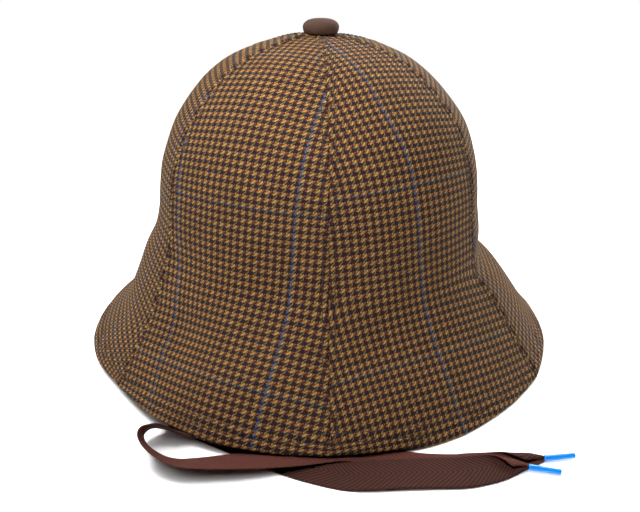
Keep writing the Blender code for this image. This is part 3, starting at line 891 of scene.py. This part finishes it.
def new_material(name, values):
    """A material whose surface shader has these values, its node tree and the shader."""
    made = bpy.data.materials.new(name)
    made.use_nodes = True
    tree = made.node_tree
    shader = tree.nodes["Principled BSDF"]
    for key, value in values.items():
        shader.inputs[key].default_value = value
    return made, tree, shader


def tint_and_raise(tree, colour, tone, height=None, strength=0, depth=0):
    """Gives the surface a colour shaded by a tone, and a bump this deep where there is a height."""
    values = {0: 1.0, 6: colour, 7: tone}
    shade = add_node(tree, "ShaderNodeMix", values, data_type="RGBA", blend_type="MULTIPLY")
    shader = tree.nodes["Principled BSDF"]
    tree.links.new(shade.outputs[2], shader.inputs["Base Color"])
    if height is not None:
        bump = add_node(
            tree, "ShaderNodeBump", {"Strength": strength, "Distance": depth, "Height": height}
        )
        tree.links.new(bump.outputs[0], shader.inputs["Normal"])


def houndstooth_wool(sizes, colours):
    """Woollen suiting, woven: four light and four dark yarns each way in a two-and-two twill, which
    gives broken checks with steep teeth, crossed by thin blue lines. Matt, with a short nap."""
    finish = {"Roughness": 0.92, "Specular IOR Level": 0.12}
    made, tree, _ = new_material("woven houndstooth wool", finish)
    cloth = add_node(tree, "ShaderNodeUVMap", uv_map=CLOTH_MAP).outputs[0]
    across, up = add_node(tree, "ShaderNodeSeparateXYZ", [cloth]).outputs[:2]
    yarns = 8  # in one repeat of the check
    last_light = yarns / 2 - 0.5
    warp_step = sizes.check_width / yarns
    weft_step = sizes.check_height / yarns
    half_warp_line = sizes.warp_line_step / 2
    half_weft_line = sizes.weft_line_step / 2
    steps = []
    for yarn, part, step in (("warp", across, warp_step), ("weft", up, weft_step)):
        steps += [
            (yarn, "DIVIDE", part, step),
            (f"{yarn} number", "FLOOR", yarn),
            (f"{yarn} in check", "FLOORED_MODULO", f"{yarn} number", yarns),
            (f"light {yarn}", "LESS_THAN", f"{yarn} in check", last_light),
            (f"{yarn} across", "FRACT", yarn),
            (f"{yarn} side", "SUBTRACT", f"{yarn} across", 0.5),
            (f"{yarn} drop", "POWER", f"{yarn} side", 2),
        ]
    steps += [
        ("twill", "SUBTRACT", "warp number", "weft number"),
        ("twill step", "FLOORED_MODULO", "twill", 4),
        ("warp on top", "LESS_THAN", "twill step", 1.5),
        ("warp end", "SUBTRACT", "weft across", "twill step"),
        ("warp end drop", "POWER", "warp end", 2),
        ("past weft end", "ADD", "warp across", "twill step"),
        ("weft end", "SUBTRACT", "past weft end", 3),
        ("weft end drop", "POWER", "weft end", 2),
        ("past weft start", "SUBTRACT", "twill step", 2),
        ("into weft float", "MAXIMUM", "past weft start", 0),
        ("float warp", "SUBTRACT", "warp number", "into weft float"),
        ("past warp start", "SUBTRACT", "twill step", 1),
        ("into warp float", "MINIMUM", "past warp start", 0),
        ("float weft", "ADD", "weft number", "into warp float"),
        # The nap carries some of each yarn's colour over the ones that it crosses.
        ("over", "MULTIPLY_ADD", "warp on top", 1 - 2 * NAP, NAP),
        ("from warp line", "WRAP", across, half_warp_line, -half_warp_line),
        ("off warp line", "ABSOLUTE", "from warp line"),
        ("warp line", "LESS_THAN", "off warp line", warp_step),
        ("from weft line", "WRAP", up, half_weft_line, -half_weft_line),
        ("off weft line", "ABSOLUTE", "from weft line"),
        ("weft line", "LESS_THAN", "off weft line", 0.6 * weft_step),
    ]
    s = {}
    for name, operation, *values in steps:
        values = [s.get(v, v) if isinstance(v, str) else v for v in values]
        s[name] = add_node(tree, "ShaderNodeMath", values, operation=operation).outputs[0]
    # A yarn looks warmer and paler among pale ones, whose fibres lie over it.
    blends = [
        ("dark warp yarn", "light weft", "plum", "maroon"),
        ("light warp yarn", "light weft", "khaki", "golden"),
        ("warp yarn", "light warp", "dark warp yarn", "light warp yarn"),
        ("weft yarn", "light weft", "black", "camel"),
        ("lined warp", "warp line", "warp yarn", "blue_warp"),
        ("lined weft", "weft line", "weft yarn", "blue_weft"),
        ("top", "over", "lined weft", "lined warp"),
    ]
    shades = {name: (*getattr(colours, name), 1) for name in HatColours.__annotations__}
    for name, share, first, second in blends:
        values = {0: s[share], 6: shades[first], 7: shades[second]}
        shades[name] = add_node(tree, "ShaderNodeMix", values, data_type="RGBA").outputs[2]
    # Each float of yarn over two others catches the light in its own way.
    place = [s["float warp"], s["float weft"], s["warp on top"]]
    which = add_node(tree, "ShaderNodeCombineXYZ", place).outputs[0]
    s["own"] = add_node(tree, "ShaderNodeTexWhiteNoise", [which]).outputs["Value"]
    for name in ("drop", "end drop"):
        values = [s["warp on top"], None, s[f"weft {name}"], s[f"warp {name}"]]
        s[name] = add_node(tree, "ShaderNodeMix", values, data_type="FLOAT").outputs[0]
    # Yarns differ a little, fibres more, and the cloth is a little worn and shaded in large soft
    # patches.
    for name, size, detail in (("fibres", 0.35 * MM, 2), ("patches", 22 * MM, 3)):
        values = {"Vector": cloth, "Scale": 1 / size, "Detail": detail}
        s[name] = add_node(tree, "ShaderNodeTexNoise", values).outputs["Fac"]
    # Painted light and shade: each yarn is lit along its middle and shaded at its sides, and each
    # float is shaded towards its ends.
    tones = [
        ("painted yarn light and shade", "MULTIPLY_ADD", "drop", -3.6, 1.32),
        ("painted float light and shade", "MULTIPLY_ADD", "end drop", -1.0, "painted yarn light and shade"),
        ("float tone", "MULTIPLY_ADD", "own", 0.6, "painted float light and shade"),
        ("fibre tone", "MULTIPLY_ADD", "fibres", 0.55, 0.73),
        ("patch tone", "MULTIPLY_ADD", "patches", 0.22, 0.89),
        ("both tones", "MULTIPLY", "float tone", "fibre tone"),
        ("tone", "MULTIPLY", "both tones", "patch tone"),
        ("height", "MULTIPLY_ADD", "drop", -3.0, "fibres"),
    ]
    for name, operation, *values in tones:
        values = [s.get(v, v) if isinstance(v, str) else v for v in values]
        s[name] = add_node(tree, "ShaderNodeMath", values, operation=operation).outputs[0]
    tint_and_raise(tree, shades["top"], s["tone"], s["height"], strength=0.6, depth=0.12 * MM)
    return made


def herringbone_cotton(name, colour, rib_shade, sizes):
    """Cotton tape, woven as a twill that turns back at its middle: diagonal ribs in chevrons, with
    painted light on the ribs and painted shade in the gaps between them, by the rib shade."""
    made, tree, _ = new_material(name, {"Roughness": 0.88, "Specular IOR Level": 0.12})
    cloth = add_node(tree, "ShaderNodeUVMap", uv_map=CLOTH_MAP).outputs[0]
    along, across = add_node(tree, "ShaderNodeSeparateXYZ", [cloth]).outputs[:2]
    values = {"Vector": cloth, "Scale": 1 / (0.5 * MM), "Detail": 2}
    fine = add_node(tree, "ShaderNodeTexNoise", values).outputs["Fac"]
    rib_slope = 1.05
    pick_step = 0.8 * MM
    steps = [
        ("off middle", "ABSOLUTE", across),
        ("slanted", "MULTIPLY_ADD", "off middle", rib_slope, along),
        ("rib turn", "MULTIPLY", "slanted", 2 * math.pi / sizes.chevron_step),
        ("rib", "SINE", "rib turn"),
        ("pick turn", "MULTIPLY", along, 2 * math.pi / pick_step),
        ("pick", "SINE", "pick turn"),
        ("rib height", "MULTIPLY_ADD", "rib", 0.5, fine),
        ("height", "MULTIPLY_ADD", "pick", 0.1, "rib height"),
        # Painted light on the ribs and painted shade in the gaps between them.
        ("painted rib light and shade", "MULTIPLY_ADD", "rib", rib_shade, 1.0),
        ("fibre tone", "MULTIPLY_ADD", fine, 0.5, 0.75),
        ("tone", "MULTIPLY", "painted rib light and shade", "fibre tone"),
    ]
    s = {}
    for step, operation, *values in steps:
        values = [s.get(v, v) if isinstance(v, str) else v for v in values]
        s[step] = add_node(tree, "ShaderNodeMath", values, operation=operation).outputs[0]
    tint_and_raise(tree, (*colour, 1), s["tone"], s["height"], strength=0.7, depth=0.25 * MM)
    return made


def covered_cloth(colours):
    """Cotton twill, stretched over a button: fine close ribs, matt, with painted light where its
    ribs and fibres stand higher and painted shade between them.
    """
    finish = {"Roughness": 0.88, "Specular IOR Level": 0.12}
    made, tree, _ = new_material("stretched cotton twill", finish)
    place = add_node(tree, "ShaderNodeTexCoord").outputs["Object"]
    waves = {"Vector": place, "Scale": 1 / (3.2 * MM), "Distortion": 1.2, "Detail": 2}
    ribs = add_node(tree, "ShaderNodeTexWave", waves, bands_direction="DIAGONAL").outputs["Fac"]
    fibres = {"Vector": place, "Scale": 1 / (0.6 * MM), "Detail": 3}
    fine = add_node(tree, "ShaderNodeTexNoise", fibres).outputs["Fac"]
    height = add_node(tree, "ShaderNodeMath", [ribs, 0.5, fine], operation="MULTIPLY_ADD")
    # Painted light and shade: paler where the ribs and fibres stand higher, darker between them.
    tone = add_node(
        tree, "ShaderNodeMath", [height.outputs[0], 0.4, 0.7], operation="MULTIPLY_ADD"
    ).outputs[0]
    colour = (*colours.button, 1)
    tint_and_raise(tree, colour, tone, height.outputs[0], strength=0.5, depth=0.15 * MM)
    return made


def sewing_thread(colours):
    """Polyester sewing thread, spun: two plies twisted round each other, a soft low gloss."""
    made, tree, _ = new_material("spun polyester thread", {"Roughness": 0.7})
    place = add_node(tree, "ShaderNodeTexCoord").outputs["Object"]
    values = {"Vector": place, "Scale": 1 / (0.4 * MM), "Detail": 1}
    plies = add_node(tree, "ShaderNodeTexNoise", values).outputs["Fac"]
    tone = add_node(tree, "ShaderNodeMath", [plies, 0.6, 0.7], operation="MULTIPLY_ADD").outputs[0]
    tint_and_raise(tree, (*colours.stitching, 1), tone)
    return made


def moulded_tip(colours):
    """Acetate film, heat-shrunk round the tape: smooth, glossy, faintly uneven."""
    made, tree, _ = new_material("moulded acetate", {"Roughness": 0.32, "IOR": 1.48})
    place = add_node(tree, "ShaderNodeTexCoord").outputs["Object"]
    values = {"Vector": place, "Scale": 1 / (1.6 * MM), "Detail": 2}
    uneven = add_node(tree, "ShaderNodeTexNoise", values).outputs["Fac"]
    tone = add_node(
        tree, "ShaderNodeMath", [uneven, 0.3, 0.85], operation="MULTIPLY_ADD"
    ).outputs[0]
    tint_and_raise(tree, (*colours.tip, 1), tone, uneven, strength=0.3, depth=0.1 * MM)
    return made


def pale_floor():
    """A painted studio floor: matt, pale and almost even, and lit from below near its edge."""
    finish = {"Roughness": 0.9, "Specular IOR Level": 0.1}
    made, tree, shader = new_material("matt studio floor", finish)
    place = add_node(tree, "ShaderNodeTexCoord").outputs["Object"]
    values = {"Vector": place, "Scale": 4, "Detail": 2}
    uneven = add_node(tree, "ShaderNodeTexNoise", values).outputs["Fac"]
    tone = add_node(
        tree, "ShaderNodeMath", [uneven, 0.01, 0.9], operation="MULTIPLY_ADD"
    ).outputs[0]
    tree.links.new(tone, shader.inputs["Base Color"])
    out = add_node(tree, "ShaderNodeVectorMath", [place], operation="LENGTH").outputs["Value"]
    values = [out, *FLOOR_GLOW]
    share = add_node(tree, "ShaderNodeMapRange", values, interpolation_type="SMOOTHSTEP").outputs[0]
    glow = add_node(tree, "ShaderNodeEmission", {"Strength": 1.1}).outputs[0]
    both = add_node(tree, "ShaderNodeMixShader", [share, shader.outputs[0], glow]).outputs[0]
    tree.links.new(both, tree.nodes["Material Output"].inputs["Surface"])
    return made


# Operators


class HAT_OT_stage(Operator):
    """Sets up the camera at the product view, the pale floor and the soft light"""

    bl_idname = "hat.stage"
    bl_label = "Stage"

    def execute(self, context):
        scene = context.scene
        view = bpy.data.cameras.new("product_view")
        view.sensor_width = 36
        view.lens = CAMERA_FOCUS / IMAGE_WIDTH * view.sensor_width
        view.shift_x = CAMERA_SHIFT / IMAGE_WIDTH
        view.clip_end = 50
        camera = bpy.data.objects.new("product_view", view)
        camera.location = CAMERA_PLACE
        camera.rotation_euler = (math.radians(CAMERA_PITCH), 0, math.radians(CAMERA_TURN))
        scene.collection.objects.link(camera)
        scene.camera = camera
        angles = np.linspace(0, 2 * math.pi, FLOOR_SIDES, endpoint=False)
        across, along = FLOOR_RADIUS * np.cos(angles), FLOOR_RADIUS * np.sin(angles)
        rim = [(x, y, FLOOR_LEVEL) for x, y in zip(across, along)]
        floor = new_object("studio_floor", rim, [list(range(len(rim)))], surfaces=[pale_floor()])
        world = bpy.data.worlds.new("soft_room")
        world.use_nodes = True
        # The room past the floor is seen white, but its light comes from the soft boxes.
        seen = add_node(world.node_tree, "ShaderNodeLightPath").outputs["Is Camera Ray"]
        room = world.node_tree.nodes["Background"]
        room.inputs["Color"].default_value = (1, 1, 1, 1)
        world.node_tree.links.new(seen, room.inputs["Strength"])
        scene.world = world
        for box in SOFT_BOXES:
            lamp = bpy.data.lights.new(box.name, "AREA")
            lamp.shape = "DISK"
            lamp.size = box.size
            lamp.energy = box.power
            made = bpy.data.objects.new(box.name, lamp)
            made.location = (box.x, box.y, box.z)
            if box.name == FLOOR_ONLY:
                lit = bpy.data.collections.new("floor_lit")
                lit.objects.link(floor)
                made.light_linking.receiver_collection = lit
            else:
                away = made.location - SOFT_BOX_AIM
                made.rotation_euler = away.to_track_quat("Z", "Y").to_euler()
            scene.collection.objects.link(made)
        scene.view_settings.view_transform = "Standard"
        return {"FINISHED"}


class HAT_OT_tapes(Operator):
    """Builds the two tie tapes of herringbone cotton with their moulded tips"""

    bl_idname = "hat.tapes"
    bl_label = "Tie tapes"

    def execute(self, context):
        sizes, colours = context.scene.hat_sizes, context.scene.hat_colours
        face = herringbone_cotton("woven herringbone cotton", colours.tape_face, 0.42, sizes)
        back = herringbone_cotton("herringbone cotton reverse", colours.tape_back, 0.1, sizes)
        plastic = moulded_tip(colours)
        make_tape("left", LEFT_TAPE, -1, face, back, plastic)
        make_tape("right", RIGHT_TAPE, 1, face, back, plastic)
        return {"FINISHED"}


class HAT_OT_gores(Operator):
    """Builds the six gores of houndstooth wool with their seams and the turned hem"""

    bl_idname = "hat.gores"
    bl_label = "Gores"

    def execute(self, context):
        sizes = context.scene.hat_sizes
        surface = houndstooth_wool(sizes, context.scene.hat_colours)
        for index in range(PANELS):
            gore = Gore(index)
            made = make_gore(gore, surface, sizes)
            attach(made, "root")
            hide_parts(f"panel_{gore.cut.gore}")
        return {"FINISHED"}


class HAT_OT_topstitching(Operator):
    """Sews the topstitching beside the seams and along the hem"""

    bl_idname = "hat.topstitching"
    bl_label = "Topstitching"

    def execute(self, context):
        sizes = context.scene.hat_sizes
        thread = sewing_thread(context.scene.hat_colours)
        gores = [Gore(index) for index in range(PANELS)]
        seams = [seam_stitches(gore, side, sizes) for gore in gores for side in (-1, 1)]
        away = (sizes.hem_stitching, sizes.hem_second_row)
        hems = [hem_stitches(gore, gap, sizes) for gore in gores for gap in away]
        for name, rows in (("seam_topstitching", seams), ("hem_topstitching", hems)):
            lines = np.concatenate([line for line, _ in rows])
            normals = np.concatenate([normal for _, normal in rows])
            points, faces = threads(lines, normals, sizes.thread / 2)
            made = new_object(name, points, faces, surfaces=[thread])
            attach(made, "root")
        return {"FINISHED"}


class HAT_OT_button(Operator):
    """Builds the cloth-covered button on top"""

    bl_idname = "hat.button"
    bl_label = "Button"

    def execute(self, context):
        make_button(covered_cloth(context.scene.hat_colours))
        return {"FINISHED"}


class HAT_PT_parts(Panel):
    """Lists the hat's sizes, colours and pieces"""

    bl_idname = "HAT_PT_parts"
    bl_label = "Tulip Hat"
    bl_space_type = "VIEW_3D"
    bl_region_type = "UI"
    bl_category = "Hat"

    def draw(self, context):
        layout = self.layout
        for group in (context.scene.hat_sizes, context.scene.hat_colours):
            box = layout.box()
            for name in group.bl_rna.properties.keys():
                if name not in ("rna_type", "name"):
                    box.prop(group, name)
        for operator in OPERATORS:
            layout.operator(operator.bl_idname)


OPERATORS = (HAT_OT_stage, HAT_OT_tapes, HAT_OT_gores, HAT_OT_topstitching, HAT_OT_button)
CLASSES = (HatSizes, HatColours, *OPERATORS, HAT_PT_parts)


def register():
    for one in CLASSES:
        bpy.utils.register_class(one)
    bpy.types.Scene.hat_sizes = PointerProperty(type=HatSizes)
    bpy.types.Scene.hat_colours = PointerProperty(type=HatColours)


def unregister():
    del bpy.types.Scene.hat_colours
    del bpy.types.Scene.hat_sizes
    for one in reversed(CLASSES):
        bpy.utils.unregister_class(one)


def main():
    register()
    bpy.ops.hat.stage()
    bpy.ops.hat.tapes()
    bpy.ops.hat.gores()
    bpy.ops.hat.topstitching()
    bpy.ops.hat.button()


if __name__ == "__main__":
    main()
